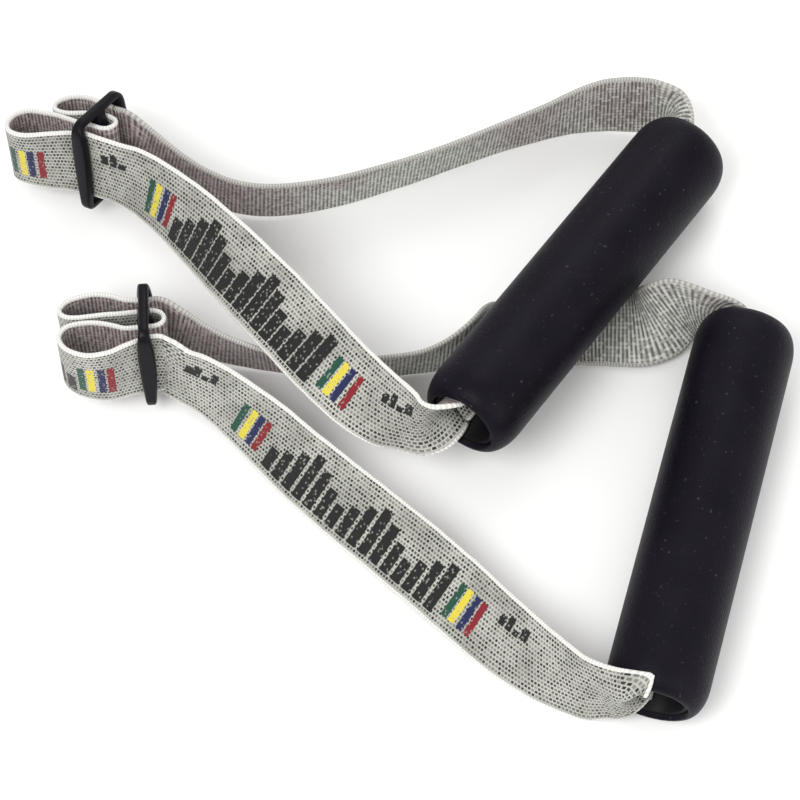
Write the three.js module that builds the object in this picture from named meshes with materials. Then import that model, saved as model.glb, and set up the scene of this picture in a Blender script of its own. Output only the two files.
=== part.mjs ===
// A pair of exercise-band handles lying on a table: millimetres, +Z up.
//
// Each handle is one closed loop of 25.4 mm webbing. The loop runs through a foam-covered tube
// (the grip), and its two runs come together in a slider with two slots and a centre bar. Past the
// slider the webbing makes two small loops, the lobes, that an elastic band is knotted through.
// The rear handle's near run crosses over the front handle's far run, and the rear grip lies on
// that run too.
//
// The webbing is followed anticlockwise, seen from above: far end of the grip, far run, slider,
// far lobe, round the centre bar, near lobe, slider, near run, near end of the grip. Its outer face
// is always on the right of that direction.
import * as THREE from 'three';

// ---- driving dimensions ----------------------------------------------------------------------

const WEBBING_WIDTH = 25.4;
const WEBBING_THICKNESS = 1.6;
const GAP = 0.3; // between pieces that touch

const GRIP_LENGTH = 132;
const GRIP_RADIUS = 16;
const GRIP_END_DEPTH = 9.5; // how far the rounding of the foam's end reaches along the grip
const TUBE_OUTER_RADIUS = 11;
const TUBE_BORE_RADIUS = 9.5;
const TUBE_RECESS = 1.5; // the tube ends this far inside the foam
const FOAM_BORE_RADIUS = TUBE_OUTER_RADIUS + GAP;
const ROUND_STEPS = 36;

const CURL_RADIUS = TUBE_BORE_RADIUS - GAP - WEBBING_THICKNESS / 2; // webbing curled in the bore
const EDGE_ANGLE = WEBBING_WIDTH / 2 / CURL_RADIUS; // how far round the curl its edges are
const LAP_CURL_RADIUS = CURL_RADIUS - WEBBING_THICKNESS - GAP; // the layer inside the first one
const LAP_LENGTH = 34;
const LAP_RAMP = 6;
const TAIL_INSET = 10; // the tails start this far inside the grip's ends

const SLIDER_WIDTH = 25; // across the bars
const SLIDER_HEIGHT = 35; // along the bars
const SLIDER_DEPTH = 5.4;
const OUTER_BAR = 3.2;
const CENTRE_BAR = 4.2;
const SLIDER_RAIL = 2.5;
const SLIDER_CHAMFER = 1;
const SLIDER_CORNER = 3;

const WEBBING_AT_CENTRE_BAR = CENTRE_BAR / 2 + 0.4 + WEBBING_THICKNESS / 2;
const WEBBING_AT_OUTER_BAR = SLIDER_WIDTH / 2 - OUTER_BAR - 0.4 - WEBBING_THICKNESS / 2;
const SLOT_STATION = -(SLIDER_DEPTH / 2 + GAP); // where the lobes start, just outside the slots

const STITCH_RADIUS = 0.35;
const STITCH_ROWS = 9;
const STITCH_HALF_ANGLE = THREE.MathUtils.degToRad(62);

const FLAT_CELLS = 1; // cells across a flat stretch of webbing
const CURLED_CELLS = 10; // and across a curled one
const STEPS_PER_SPAN = 2;
const MOUTH_STEPS = 3;

// The middle of the pair's footprint in the layout's own coordinates.
const LAYOUT_CENTRE = [-1.85, -3.04];

const COLOURS = {
  foam: { color: 0x1e1c26, roughness: 0.85, metalness: 0 },
  tube: { color: 0x3a3a3e, roughness: 0.5, metalness: 0 },
  slider: { color: 0x221c2c, roughness: 0.4, metalness: 0 },
  webbing: { color: 0xb9b6b2, roughness: 0.9, metalness: 0 },
  thread: { color: 0xe4e2dc, roughness: 0.7, metalness: 0 },
};

// ---- the two handles' layouts ------------------------------------------------------------------

// grip: centre, heading in plan and the slope down towards its far end, degrees.
// slider: centre, heading in plan, climb and lean of its slots' long direction, degrees.
// Run stations are [x, y, z, lean]: the webbing's middle, and how far its top edge leans away to
// the far side, in degrees. Lobe stations are [along, across] in the slider's own plane.
//
// Rim rows shape a mouth, from the run inwards. bottom, middle and top are points of the webbing:
// [distance from the grip's axis on the strap's side, distance beyond the grip's end, height above
// the axis]. curled is how rounded the row is, and bulge moves the middle of its upper half.
const FRONT = {
  name: 'front',
  grip: { centre: [93.6, -45.1, 16], heading: 74.3, slope: 0 },
  slider: { centre: [-79.8, 10.1, 19.9], heading: 4, climb: 0, lean: 16.6 },
  farRim: [
    { bottom: [12.5, 2.2, -12.2], middle: [15, 2, 0], top: [12.5, 2.2, 12.2], curled: 0.12 },
    { bottom: [7, 2.4, -10.8], middle: [11.5, 2.2, 0], top: [7, 2.4, 10.8], curled: 0.45 },
    { bottom: [2.4, 1.8, -9], middle: [9.3, 1.6, 0], top: [2.4, 1.8, 9], curled: 0.85 },
    { bottom: [0.8, 0.6, -8.4], middle: [8.5, 0, 0], top: [0.8, 0.6, 8.4], curled: 1 },
    { bottom: [0.5, -4, -8.4], middle: [8.4, -4, 0], top: [0.5, -4, 8.4], curled: 1 },
  ],
  farMouth: [],
  farRun: [
    [91.4, 26.5, 13.5, 18], [87.2, 25.8, 11.4, 38], [82.8, 24.2, 7.5, 62], [78.0, 23.4, 4.4, 77],
    [71.5, 23.9, 2.7, 84], [63.5, 24.2, 2.0, 88], [55.5, 24.1, 2.0, 89], [48.0, 23.4, 2.3, 87],
    [40.5, 21.4, 3.1, 83], [34.0, 18.8, 5.8, 69], [28.0, 15.6, 10.0, 45], [22.0, 12.7, 12.8, 16],
    [15.9, 10.3, 13.1, -2], [8.0, 7.8, 13.0, -10], [0.0, 6.4, 13.0, -12], [-10.0, 5.5, 13.0, -13],
    [-21.0, 5.4, 13.0, -13], [-31.5, 6.2, 13.0, -13], [-41.0, 7.8, 13.0, -12],
  ],
  farSlack: [
    [-49.0, 9.6, 13.5, -9], [-56.5, 11.6, 14.3, -5], [-63.5, 13.8, 15.4, 1], [-70.0, 16.2, 16.4, 9],
  ],
  farLobe: [
    [-6, 9.4], [-10.5, 11.9], [-16, 13.6], [-21, 13.3], [-25, 11.4], [-27, 8], [-25.2, 5.3],
    [-21, 4.5], [-14, 4.4], [-7, 3.7],
  ],
  nearLobe: [
    [-6, -2.9], [-10, -0.9], [-15, 1.2], [-21, 1.9], [-25.4, 0.2], [-27, -4], [-24.4, -8.8],
    [-18.6, -12], [-12, -12.2], [-6.4, -10.2],
  ],
  nearSlack: [
    [-71.5, 1.0, 20.4, 17], [-65.8, -1.3, 18.9, 19], [-58.8, -4.6, 17.1, 22],
    [-50.4, -10.7, 15.2, 29],
  ],
  nearRun: [
    [-41.0, -18.7, 13.6, 37], [-31.4, -27.7, 12.2, 43], [-18.7, -38.8, 11.0, 49],
    [-6.2, -49.4, 10.2, 52], [6.2, -60.4, 10.2, 54], [18.5, -72.1, 10.6, 53],
    [30.6, -84.1, 11.6, 48], [42.0, -94.0, 13.0, 39],
  ],
  nearMouth: [[51.4, -100.6, 14.4, 28], [57.0, -103.7, 15.5, 24]],
  nearRim: [
    { bottom: [11.9, 3.6, -11.5], middle: [13.9, 1.2, 0.7], top: [13.4, -4, 12.8], curled: 0.1 },
    { bottom: [8.7, 2.8, -10.5], middle: [10.6, 2.6, 1.5], top: [9.6, -4, 13.7], curled: 0.3 },
    {
      bottom: [5.2, 1.1, -9.3], middle: [9.3, 1.8, 2.6], top: [4.6, -3.9, 15.6], curled: 0.6,
      bulge: [0, 1.4, 0],
    },
    {
      bottom: [2.4, -1.7, -8.05], middle: [8.6, 0, 0.5], top: [1.2, -3.4, 16], curled: 0.8,
      bulge: [0, 3.4, -1.2],
    },
    {
      bottom: [1, -4.6, -8.3], middle: [8.4, -2.5, 0], top: [1.6, 1.8, 13.4], curled: 1,
      bulge: [-0.5, 1, -2.5],
    },
    {
      bottom: [0.5, -6.5, -8.4], middle: [8.4, -5, 0], top: [1.8, 1.5, 9.3], curled: 1,
      bulge: [-0.3, -0.4, -1.3],
    },
    { bottom: [0.5, -8, -8.4], middle: [8.4, -6.8, 0], top: [1, -1.8, 8.3], curled: 1 },
  ],
};

const REAR = {
  name: 'rear',
  grip: { centre: [57, 31.6, 22.5], heading: 54.5, slope: 6.5 },
  slider: { centre: [-97, 80, 21.2], heading: -28.1, climb: 14, lean: 20 },
  farRim: [
    { bottom: [11, 9.4, -11.6], middle: [13.5, 8.2, 0], top: [11, 9.4, 11.6], curled: 0.25 },
    { bottom: [5, 7, -10.1], middle: [10, 6, 0], top: [5, 7, 10.1], curled: 0.6 },
    { bottom: [1.5, 3, -8.8], middle: [8.7, 2.5, 0], top: [1.5, 3, 8.8], curled: 0.9 },
    { bottom: [0.5, -1, -8.4], middle: [8.4, -1, 0], top: [0.5, -1, 8.4], curled: 1 },
    { bottom: [0.5, -4, -8.4], middle: [8.4, -4, 0], top: [0.5, -4, 8.4], curled: 1 },
  ],
  farMouth: [[85.6, 100.9, 13.9, 9]],
  farRun: [
    [79.7, 101.7, 13.4, 13], [73.5, 102.0, 13.2, 13], [66.5, 101.5, 13.1, 10],
    [57.5, 99.2, 13.1, 3], [46.3, 94.8, 13.1, -4], [33.0, 89.5, 13.1, -8], [19.8, 83.8, 13.1, -10],
    [6.6, 78.3, 13.1, -10], [-6.6, 73.6, 13.1, -9], [-19.6, 69.4, 13.1, -8],
    [-32.7, 66.6, 13.2, -7], [-44.1, 65.6, 13.6, -6], [-54.0, 66.7, 14.3, -5],
  ],
  farSlack: [
    [-63.5, 69.9, 15.5, -2], [-71.8, 74.0, 17.0, 2], [-79.4, 78.4, 18.6, 8],
    [-85.6, 82.0, 19.8, 15],
  ],
  farLobe: [
    [-6, 9.3], [-10, 10.3], [-14.8, 10], [-18.8, 7.8], [-20.2, 4.4], [-18.2, 1.1], [-13, 0.2],
    [-7, 2.2],
  ],
  nearLobe: [
    [-6, -3.2], [-10, -2.6], [-15, -2], [-20.5, -2], [-25.6, -3.4], [-28.2, -7.2], [-27.9, -12],
    [-24.8, -15.4], [-19.4, -15.6], [-13, -13.2], [-6.6, -10.2],
  ],
  nearSlack: [
    [-91.8, 69.4, 25.0, 21], [-84.2, 65.0, 26.6, 26], [-75.4, 57.5, 28.2, 32],
    [-67.0, 49.0, 29.6, 39],
  ],
  nearRun: [
    [-58.7, 39.4, 31.4, 46], [-50.5, 29.6, 33.0, 52], [-40.8, 18.3, 33.9, 57],
    [-31.2, 7.2, 34.0, 59], [-21.8, -3.4, 33.4, 57], [-12.6, -12.4, 32.2, 51],
  ],
  nearMouth: [[-4.6, -18.5, 31.5, 41], [2.2, -21.7, 31.1, 23]],
  nearRim: [
    { bottom: [5.6, 10.4, -12.2], middle: [9.9, 8, -0.5], top: [11, 7, 11.4], curled: 0.15 },
    { bottom: [0.8, 5.6, -10.2], middle: [8.8, 4.3, -0.3], top: [6.6, 5.6, 10.4], curled: 0.5 },
    { bottom: [-0.6, 1.6, -8.6], middle: [8.6, 1, 0], top: [2, 0.9, 9.3], curled: 0.85 },
    { bottom: [-0.6, -3, -8.3], middle: [8.4, -2.5, 0], top: [0.5, -2, 8.4], curled: 1 },
    { bottom: [0.2, -6, -8.4], middle: [8.4, -6, 0], top: [0.5, -6, 8.4], curled: 1 },
  ],
};

// ---- small vector helpers ------------------------------------------------------------------------

const UP = new THREE.Vector3(0, 0, 1);
const radians = THREE.MathUtils.degToRad;
const vector = (list) => new THREE.Vector3(list[0], list[1], list[2]);

// A direction in plan, turned up by the climb.
function direction(heading, climb) {
  const flat = Math.cos(radians(climb));
  return new THREE.Vector3(
    flat * Math.cos(radians(heading)),
    flat * Math.sin(radians(heading)),
    Math.sin(radians(climb)),
  );
}

// The webbing's width direction where it travels along `along`. lean is measured to the left.
function widthDirection(along, lean) {
  const left = new THREE.Vector3().crossVectors(UP, along).normalize();
  const upright = new THREE.Vector3().crossVectors(along, left);
  return upright
    .multiplyScalar(Math.cos(radians(lean)))
    .addScaledVector(left, Math.sin(radians(lean)));
}

// Uniform Catmull-Rom interpolation through rows of numbers.
function interpolate(rows, steps) {
  const first = rows[0].map((v, k) => 2 * v - rows[1][k]);
  const last = rows.at(-1).map((v, k) => 2 * v - rows.at(-2)[k]);
  const all = [first, ...rows, last];
  const out = [];
  for (let i = 1; i + 2 < all.length; i += 1) {
    const [a, b, c, d] = all.slice(i - 1, i + 3);
    for (let s = 0; s < steps; s += 1) {
      const t = s / steps;
      out.push(b.map((_, k) => 0.5 * (
        2 * b[k] + (c[k] - a[k]) * t + (2 * a[k] - 5 * b[k] + 4 * c[k] - d[k]) * t * t
        + (3 * b[k] - a[k] - 3 * c[k] + d[k]) * t * t * t
      )));
    }
  }
  out.push(rows.at(-1));
  return out;
}

// ---- frames of the grip and the slider --------------------------------------------------------------

function gripFrame({ centre, heading, slope }) {
  const along = direction(heading, -slope);
  const width = widthDirection(along, 0);
  const outward = new THREE.Vector3().crossVectors(along, width);
  return { centre: vector(centre), along, width, outward };
}

function sliderFrame({ centre, heading, climb, lean }) {
  const along = direction(heading, climb);
  const height = widthDirection(along, lean);
  const across = new THREE.Vector3().crossVectors(height, along);
  return { centre: vector(centre), along, height, across };
}

const onSlider = (frame, along, across) => frame.centre.clone()
  .addScaledVector(frame.along, along)
  .addScaledVector(frame.across, across);

// A point of the webbing's middle line in the bore, `distance` along the grip from its centre.
const inBore = (frame, distance, radius) => frame.centre.clone()
  .addScaledVector(frame.along, distance)
  .addScaledVector(frame.outward, -radius);

// ---- the webbing's route -------------------------------------------------------------------------------

// Lobes stand more upright than the slots, the more so the further they are from the slider.
const LOBE_UPRIGHT = 0.6;
const LOBE_REACH = 20;

function lobeWidth(slider, along) {
  const share = LOBE_UPRIGHT * Math.min(1, Math.max(0, -along / LOBE_REACH));
  return slider.height.clone().lerp(UP, share).normalize();
}

// One station: where it is, its width direction, and the stretch it starts.
const station = (point, width, starts) => ({ point, width, starts });

function runStations(list, sign, starts) {
  return list.map(([x, y, z, lean], i) => ({
    point: new THREE.Vector3(x, y, z),
    lean: sign * lean,
    starts: i === 0 ? starts : undefined,
  }));
}

function sliderStations(slider, list, starts) {
  return list.map(([along, across], i) => station(
    onSlider(slider, along, across), lobeWidth(slider, along), i === 0 ? starts : undefined,
  ));
}

function wrapStations() {
  const r = WEBBING_AT_CENTRE_BAR;
  const edge = SLIDER_DEPTH / 2;
  const arc = [90, 45, 0, -45, -90].map((angle) => [
    edge + r * Math.cos(radians(angle)), r * Math.sin(radians(angle)),
  ]);
  return [[SLOT_STATION, r], [0, r], ...arc, [0, -r], [SLOT_STATION, -r]];
}

// The point `share` of the way across a rim row, from -1 at the bottom edge to 1 at the top. `end`
// is 1 at the grip's far end and -1 at its near end.
function rimPoint(grip, end, row, share) {
  const { lerp } = THREE.MathUtils;
  const angle = Math.abs(share) * EDGE_ANGLE;
  const edge = share < 0 ? row.bottom : row.top;
  const inward = (1 - Math.cos(angle)) / (1 - Math.cos(EDGE_ANGLE));
  const upward = lerp(Math.abs(share), Math.sin(angle) / Math.sin(EDGE_ANGLE), row.curled);
  const swell = share > 0 && row.bulge ? 4 * share * (1 - share) : 0;
  const [radius, beyond, rise] = row.middle.map((value, k) => (
    lerp(value, edge[k], k < 2 ? inward : upward) + (swell ? swell * row.bulge[k] : 0)
  ));
  return inBore(grip, end * (GRIP_LENGTH / 2 + beyond), radius).addScaledVector(grip.width, rise);
}

// The stations from where the far mouth ends to where the near one starts, with one beyond each.
function routeOf(handle) {
  const grip = gripFrame(handle.grip);
  const slider = sliderFrame(handle.slider);
  const outer = WEBBING_AT_OUTER_BAR;
  const wrap = wrapStations();
  const stations = [
    station(rimPoint(grip, 1, handle.farRim[0], 0), grip.width),
    ...runStations(handle.farMouth, -1),
    ...runStations(handle.farRun, -1, 'strap_far_run'),
    ...runStations(handle.farSlack, -1, 'strap_far_slack'),
    ...sliderStations(slider, [[SLIDER_DEPTH, outer], [0, outer]]),
    ...sliderStations(slider, [[SLOT_STATION, outer], ...handle.farLobe], 'strap_far_lobe'),
    ...sliderStations(slider, wrap.slice(0, -1), 'strap_bar_wrap'),
    ...sliderStations(slider, [wrap.at(-1), ...handle.nearLobe], 'strap_near_lobe'),
    ...sliderStations(slider, [[SLOT_STATION, -outer], [0, -outer], [SLIDER_DEPTH, -outer]],
      'strap_near_slack'),
    ...runStations(handle.nearSlack, 1),
    ...runStations(handle.nearRun, 1, 'strap_near_run'),
    ...runStations(handle.nearMouth, 1, 'strap_near_mouth'),
    station(rimPoint(grip, -1, handle.nearRim[0], 0), grip.width),
  ];
  for (let i = 0; i < stations.length; i += 1) {
    const here = stations[i];
    if (here.width === undefined) {
      const before = stations[i - 1].point;
      const after = stations[i + 1].point;
      here.width = widthDirection(after.clone().sub(before).normalize(), here.lean);
    }
  }
  return stations;
}

// Sections of the webbing: where each is and its directions.
function sectionsOf(stations) {
  const rows = interpolate(
    stations.map((s) => [...s.point.toArray(), ...s.width.toArray()]), STEPS_PER_SPAN,
  );
  const points = rows.map((row) => vector(row));
  return rows.map((row, i) => {
    const before = points[Math.max(i - 1, 0)];
    const after = points[Math.min(i + 1, points.length - 1)];
    const along = after.clone().sub(before).normalize();
    const width = new THREE.Vector3(row[3], row[4], row[5]);
    width.addScaledVector(along, -width.dot(along)).normalize();
    const outward = new THREE.Vector3().crossVectors(along, width);
    return { point: points[i], along, width, outward, curl: 0 };
  });
}

// ---- solids ------------------------------------------------------------------------------------------------

// The outline of one webbing section: the outer face from the bottom edge up, then the inner down.
function sectionOutline({ point, width, outward, curl }, cells) {
  const faces = [1, -1].map((side) => {
    const face = [];
    for (let c = 0; c <= cells; c += 1) {
      const across = WEBBING_WIDTH * (c / cells - 0.5);
      const angle = across * curl;
      const level = side * WEBBING_THICKNESS / 2;
      const straight = curl > 1e-6 ? Math.sin(angle) / curl : across;
      const lifted = curl > 1e-6 ? (1 - Math.cos(angle)) / curl : 0;
      face.push(point.clone()
        .addScaledVector(width, straight - level * Math.sin(angle))
        .addScaledVector(outward, lifted + level * Math.cos(angle)));
    }
    return face;
  });
  return [...faces[0], ...faces[1].reverse()];
}

// A closed solid through the sections, its ends drawn back by half a gap.
function webbingSolid(sections, cells) {
  const ends = [sections[0], sections.at(-1)];
  const drawn = sections.map((s) => {
    const back = s === ends[0] ? GAP / 2 : s === ends[1] ? -GAP / 2 : 0;
    return { ...s, point: s.point.clone().addScaledVector(s.along, back) };
  });
  return solidThrough(drawn.map((s) => sectionOutline(s, cells)), cells);
}

// A closed solid through rings of points, each the outline of a section.
function solidThrough(rings, cells) {
  const around = rings[0].length;
  const triangles = [];
  const id = (ring, k) => ring * around + (k % around);
  for (let r = 0; r + 1 < rings.length; r += 1) {
    for (let k = 0; k < around; k += 1) {
      triangles.push(id(r, k), id(r + 1, k), id(r, k + 1));
      triangles.push(id(r, k + 1), id(r + 1, k), id(r + 1, k + 1));
    }
  }
  const last = rings.length - 1;
  for (let c = 0; c < cells; c += 1) {
    const [a, b, d, e] = [c, c + 1, around - 2 - c, around - 1 - c];
    triangles.push(id(0, a), id(0, b), id(0, d), id(0, a), id(0, d), id(0, e));
    triangles.push(id(last, a), id(last, d), id(last, b), id(last, a), id(last, e), id(last, d));
  }
  const geometry = new THREE.BufferGeometry().setFromPoints(rings.flat());
  geometry.setIndex(triangles);
  geometry.computeVertexNormals();
  return geometry;
}

// Moves each point of a row towards the same point of the next row.
const drawnBack = (row, next, distance) => row.map((point, c) => (
  point.clone().addScaledVector(next[c].clone().sub(point).normalize(), distance)
));

// The outline of row r of a grid of the webbing's middle surface, half a thickness to each side.
function rowOutline(rows, r) {
  const row = rows[r];
  const [before, after] = [rows[Math.max(r - 1, 0)], rows[Math.min(r + 1, rows.length - 1)]];
  const faces = [1, -1].map((side) => row.map((point, c) => {
    const along = after[c].clone().sub(before[c]);
    const across = row[Math.min(c + 1, row.length - 1)].clone().sub(row[Math.max(c - 1, 0)]);
    const outward = along.cross(across).normalize();
    return point.clone().addScaledVector(outward, side * WEBBING_THICKNESS / 2);
  }));
  return [...faces[0], ...faces[1].reverse()];
}

// A mouth: from the flat stations, the first of them beyond it, over the rim and into the bore.
function mouthSolid(grip, end, flat, rims) {
  const edge = [CURL_RADIUS * Math.cos(EDGE_ANGLE), -TAIL_INSET, CURL_RADIUS * Math.sin(EDGE_ANGLE)];
  const inside = {
    bottom: [edge[0], edge[1], -edge[2]], middle: [CURL_RADIUS, -TAIL_INSET, 0], top: edge, curled: 1,
  };
  const shares = Array.from({ length: CURLED_CELLS + 1 }, (_, c) => 2 * c / CURLED_CELLS - 1);
  const half = WEBBING_WIDTH / 2;
  const controls = [
    ...flat.map((s) => shares.map((q) => s.point.clone().addScaledVector(s.width, q * half))),
    ...[...rims, inside].map((rim) => shares.map((q) => rimPoint(grip, end, rim, q))),
  ];
  const rows = interpolate(controls.map((row) => row.flatMap((p) => p.toArray())), MOUTH_STEPS)
    .map((row) => shares.map((_, c) => vector(row.slice(3 * c, 3 * c + 3))));
  rows[MOUTH_STEPS] = drawnBack(rows[MOUTH_STEPS], rows[MOUTH_STEPS + 1], GAP);
  rows[rows.length - 1] = drawnBack(rows.at(-1), rows.at(-2), GAP / 2);
  if (end > 0) rows.reverse();
  const rings = rows.map((_, r) => rowOutline(rows, r));
  const own = end > 0 ? rings.slice(0, -MOUTH_STEPS) : rings.slice(MOUTH_STEPS);
  return solidThrough(own, CURLED_CELLS);
}

// The webbing inside the grip: straight, curled against the bore, with a radius at each distance.
function tailSolid(grip, distancesAndRadii) {
  const sections = distancesAndRadii.map(([distance, radius]) => ({
    point: inBore(grip, distance, radius),
    along: grip.along,
    width: grip.width,
    outward: grip.outward,
    curl: 1 / radius,
  }));
  return webbingSolid(sections, CURLED_CELLS);
}

// A zigzag of thread on the face of the lap, as one strand.
function stitchSolid(grip) {
  const radius = LAP_CURL_RADIUS - WEBBING_THICKNESS / 2 - GAP - STITCH_RADIUS;
  const reach = LAP_LENGTH / 2 - 4;
  const points = [];
  for (let row = 0; row < STITCH_ROWS; row += 1) {
    const distance = THREE.MathUtils.lerp(-reach, reach, row / (STITCH_ROWS - 1));
    const side = row % 2 === 0 ? 1 : -1;
    for (const share of [-1, -0.5, 0, 0.5, 1]) {
      const angle = side * share * STITCH_HALF_ANGLE;
      points.push(grip.centre.clone()
        .addScaledVector(grip.along, distance + share * 0.6)
        .addScaledVector(grip.outward, -radius * Math.cos(angle))
        .addScaledVector(grip.width, radius * Math.sin(angle)));
    }
  }
  const section = new THREE.Shape().absarc(0, 0, STITCH_RADIUS, 0, 2 * Math.PI);
  return new THREE.ExtrudeGeometry(section, {
    extrudePath: new THREE.CatmullRomCurve3(points),
    steps: 2 * points.length,
    curveSegments: 3,
    bevelEnabled: false,
  });
}

// A ring turned about the grip's axis from a closed profile of [radius, distance] points.
function turned(profile) {
  const closed = [...profile, profile[0]].map(([radius, distance]) => (
    new THREE.Vector2(radius, distance)
  ));
  return new THREE.LatheGeometry(closed, ROUND_STEPS).rotateX(Math.PI / 2);
}

function foamSolid() {
  const end = GRIP_LENGTH / 2;
  const shoulder = end - GRIP_END_DEPTH;
  const rim = FOAM_BORE_RADIUS + 0.2;
  const rounding = [0, 25, 45, 65, 90].map((angle) => [
    rim + (GRIP_RADIUS - rim) * Math.cos(radians(angle)),
    shoulder + GRIP_END_DEPTH * Math.sin(radians(angle)),
  ]);
  const mirrored = rounding.map(([radius, distance]) => [radius, -distance]).reverse();
  return turned([[FOAM_BORE_RADIUS, -end], ...mirrored, ...rounding, [FOAM_BORE_RADIUS, end]]);
}

function tubeSolid() {
  const end = GRIP_LENGTH / 2 - TUBE_RECESS;
  return turned([
    [TUBE_BORE_RADIUS, -end], [TUBE_OUTER_RADIUS, -end],
    [TUBE_OUTER_RADIUS, end], [TUBE_BORE_RADIUS, end],
  ]);
}

// A rectangle with cut corners, as a path.
function cutRectangle(path, left, right, bottom, top, corner) {
  path.moveTo(left + corner, bottom);
  path.lineTo(right - corner, bottom);
  path.lineTo(right, bottom + corner);
  path.lineTo(right, top - corner);
  path.lineTo(right - corner, top);
  path.lineTo(left + corner, top);
  path.lineTo(left, top - corner);
  path.lineTo(left, bottom + corner);
  path.closePath();
  return path;
}

// The slider stands in its own plane: x across the bars, y along them, z its depth.
function sliderSolid() {
  const half = SLIDER_WIDTH / 2;
  const tall = SLIDER_HEIGHT / 2;
  const shape = cutRectangle(new THREE.Shape(), -half, half, -tall, tall, SLIDER_CORNER);
  for (const side of [-1, 1]) {
    const inner = side * CENTRE_BAR / 2;
    const outer = side * (half - OUTER_BAR);
    const left = Math.min(inner, outer);
    const right = Math.max(inner, outer);
    const slotEnd = tall - SLIDER_RAIL;
    shape.holes.push(cutRectangle(new THREE.Path(), left, right, -slotEnd, slotEnd, 0.6));
  }
  return new THREE.ExtrudeGeometry(shape, {
    depth: SLIDER_DEPTH - 2 * SLIDER_CHAMFER,
    bevelEnabled: true,
    bevelThickness: SLIDER_CHAMFER,
    bevelSize: SLIDER_CHAMFER,
    bevelOffset: -SLIDER_CHAMFER,
    bevelSegments: 1,
  }).translate(0, 0, SLIDER_CHAMFER - SLIDER_DEPTH / 2);
}

// ---- one handle ------------------------------------------------------------------------------------------------

function pieceOf(name, geometry, look) {
  const mesh = new THREE.Mesh(geometry, new THREE.MeshStandardMaterial(COLOURS[look]));
  mesh.name = name;
  return mesh;
}

// Places a mesh so that its own z runs along `z` and its own y along `y`.
function place(mesh, centre, y, z) {
  const x = new THREE.Vector3().crossVectors(y, z);
  mesh.quaternion.setFromRotationMatrix(new THREE.Matrix4().makeBasis(x, y, z));
  mesh.position.copy(centre);
  return mesh;
}

// Cuts the route at each named station into one solid per stretch, with a mouth at each end.
function webbingPieces(handle) {
  const grip = gripFrame(handle.grip);
  const stations = routeOf(handle);
  const sections = sectionsOf(stations);
  const starts = stations.flatMap((s, i) => (s.starts ? [{ name: s.starts, at: i }] : []));
  const stretches = starts.slice(0, -1).map(({ name, at }, k) => {
    const next = starts[k + 1].at;
    const own = sections.slice(at * STEPS_PER_SPAN, next * STEPS_PER_SPAN + 1);
    return pieceOf(`${handle.name}_${name}`, webbingSolid(own, FLAT_CELLS), 'webbing');
  });
  const [first, last] = [starts[0].at, starts.at(-1).at];
  const farMouth = mouthSolid(grip, 1, stations.slice(1, first + 2).reverse(), handle.farRim);
  const nearMouth = mouthSolid(grip, -1, stations.slice(last - 1, -1), handle.nearRim);
  return [
    pieceOf(`${handle.name}_strap_far_mouth`, farMouth, 'webbing'),
    ...stretches,
    pieceOf(`${handle.name}_strap_near_mouth`, nearMouth, 'webbing'),
  ];
}

function tailPieces(handle) {
  const grip = gripFrame(handle.grip);
  const mouth = GRIP_LENGTH / 2 - TAIL_INSET;
  const half = LAP_LENGTH / 2;
  const near = tailSolid(grip, [[-mouth, CURL_RADIUS], [half, CURL_RADIUS]]);
  const far = tailSolid(grip, [
    [-half, LAP_CURL_RADIUS], [half + 2, LAP_CURL_RADIUS],
    [half + 2 + LAP_RAMP, CURL_RADIUS], [mouth, CURL_RADIUS],
  ]);
  return [
    pieceOf(`${handle.name}_strap_near_tail`, near, 'webbing'),
    pieceOf(`${handle.name}_strap_far_tail`, far, 'webbing'),
    pieceOf(`${handle.name}_lap_stitching`, stitchSolid(grip), 'thread'),
  ];
}

function handleGroup(handle) {
  const grip = gripFrame(handle.grip);
  const slider = sliderFrame(handle.slider);
  const group = new THREE.Group();
  const foam = pieceOf(`${handle.name}_foam_grip`, foamSolid(), 'foam');
  const tube = pieceOf(`${handle.name}_core_tube`, tubeSolid(), 'tube');
  const frame = pieceOf(`${handle.name}_slider`, sliderSolid(), 'slider');
  group.add(place(foam, grip.centre, grip.width, grip.along));
  group.add(place(tube, grip.centre, grip.width, grip.along));
  group.add(place(frame, slider.centre, slider.height, slider.along));
  group.add(...tailPieces(handle), ...webbingPieces(handle));
  return group;
}

const pair = new THREE.Group();
pair.add(handleGroup(FRONT), handleGroup(REAR));
pair.position.set(-LAYOUT_CENTRE[0], -LAYOUT_CENTRE[1], 0);

export default pair;
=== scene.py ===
"""A pair of exercise-band handles on a pale table: webbing, sliders and foam grips."""

import math

import bpy
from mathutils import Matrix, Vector


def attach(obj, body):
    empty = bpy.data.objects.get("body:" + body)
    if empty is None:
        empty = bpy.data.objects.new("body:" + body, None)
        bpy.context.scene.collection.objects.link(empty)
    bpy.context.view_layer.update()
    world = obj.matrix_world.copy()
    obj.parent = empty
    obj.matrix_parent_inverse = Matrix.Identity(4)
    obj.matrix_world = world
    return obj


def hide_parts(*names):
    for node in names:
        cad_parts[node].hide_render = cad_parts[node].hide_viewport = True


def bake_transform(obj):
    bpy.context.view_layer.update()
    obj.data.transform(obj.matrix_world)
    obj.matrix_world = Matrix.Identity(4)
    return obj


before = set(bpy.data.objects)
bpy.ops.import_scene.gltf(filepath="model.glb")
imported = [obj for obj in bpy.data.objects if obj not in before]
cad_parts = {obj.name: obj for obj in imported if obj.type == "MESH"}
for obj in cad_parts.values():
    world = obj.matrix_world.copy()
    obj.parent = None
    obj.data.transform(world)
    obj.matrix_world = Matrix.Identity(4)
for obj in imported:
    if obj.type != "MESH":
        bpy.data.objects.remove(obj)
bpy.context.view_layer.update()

# ---- sizes in millimetres, as the CAD model has them ---------------------------------

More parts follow.
